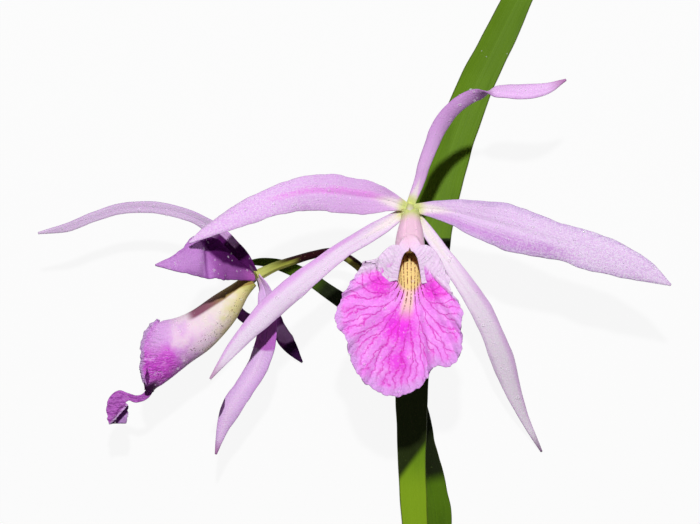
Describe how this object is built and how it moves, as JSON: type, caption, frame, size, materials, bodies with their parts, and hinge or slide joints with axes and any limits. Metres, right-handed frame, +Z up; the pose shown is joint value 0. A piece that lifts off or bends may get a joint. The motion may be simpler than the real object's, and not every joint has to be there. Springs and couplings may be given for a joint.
{
  "type": "cut cattleya orchid",
  "caption": "Cut cattleya-type orchid spray lying down: narrow lilac sepals and petals, frilled magenta lips with yellow throats, strap leaves on a cut cane",
  "frame": {"origin": "centre of the bounding box in plan, at the table surface the spray lies on", "axes": "+Z up off the table and towards the face of the front flower; +Y along the leaves from the cut cane to the leaf tips; +X to the right seen from above with the leaf tips away"},
  "size_m": [0.178, 0.2421, 0.0638],
  "materials": {
    "petal": "matte",
    "sepal": "matte",
    "lip": "satin",
    "column": "satin",
    "anther": "satin",
    "leaf": "satin",
    "stem": "satin",
    "cane": "satin",
    "sheath": "matte"
  },
  "bodies": {
    "root": {"cane_top": "cane", "leaf_long": "leaf", "leaf_short": "leaf", "peduncle": "stem", "sheath": "sheath", "bract_front": "sheath", "bract_side": "sheath", "front_ovary": "stem", "side_ovary": "stem", "front_column": "column", "front_anther_cap": "anther", "front_lip": "lip", "side_column": "column", "side_anther_cap": "anther", "side_lip": "lip", "front_dorsal_sepal": "petal", "front_petal_left": "petal", "front_petal_right": "petal", "side_dorsal_sepal": "petal", "side_petal_near": "petal", "side_petal_far": "petal", "front_sepal_left": "sepal", "front_sepal_right": "sepal", "side_sepal_near": "sepal", "side_sepal_far": "sepal"}
  },
  "joints": []
}
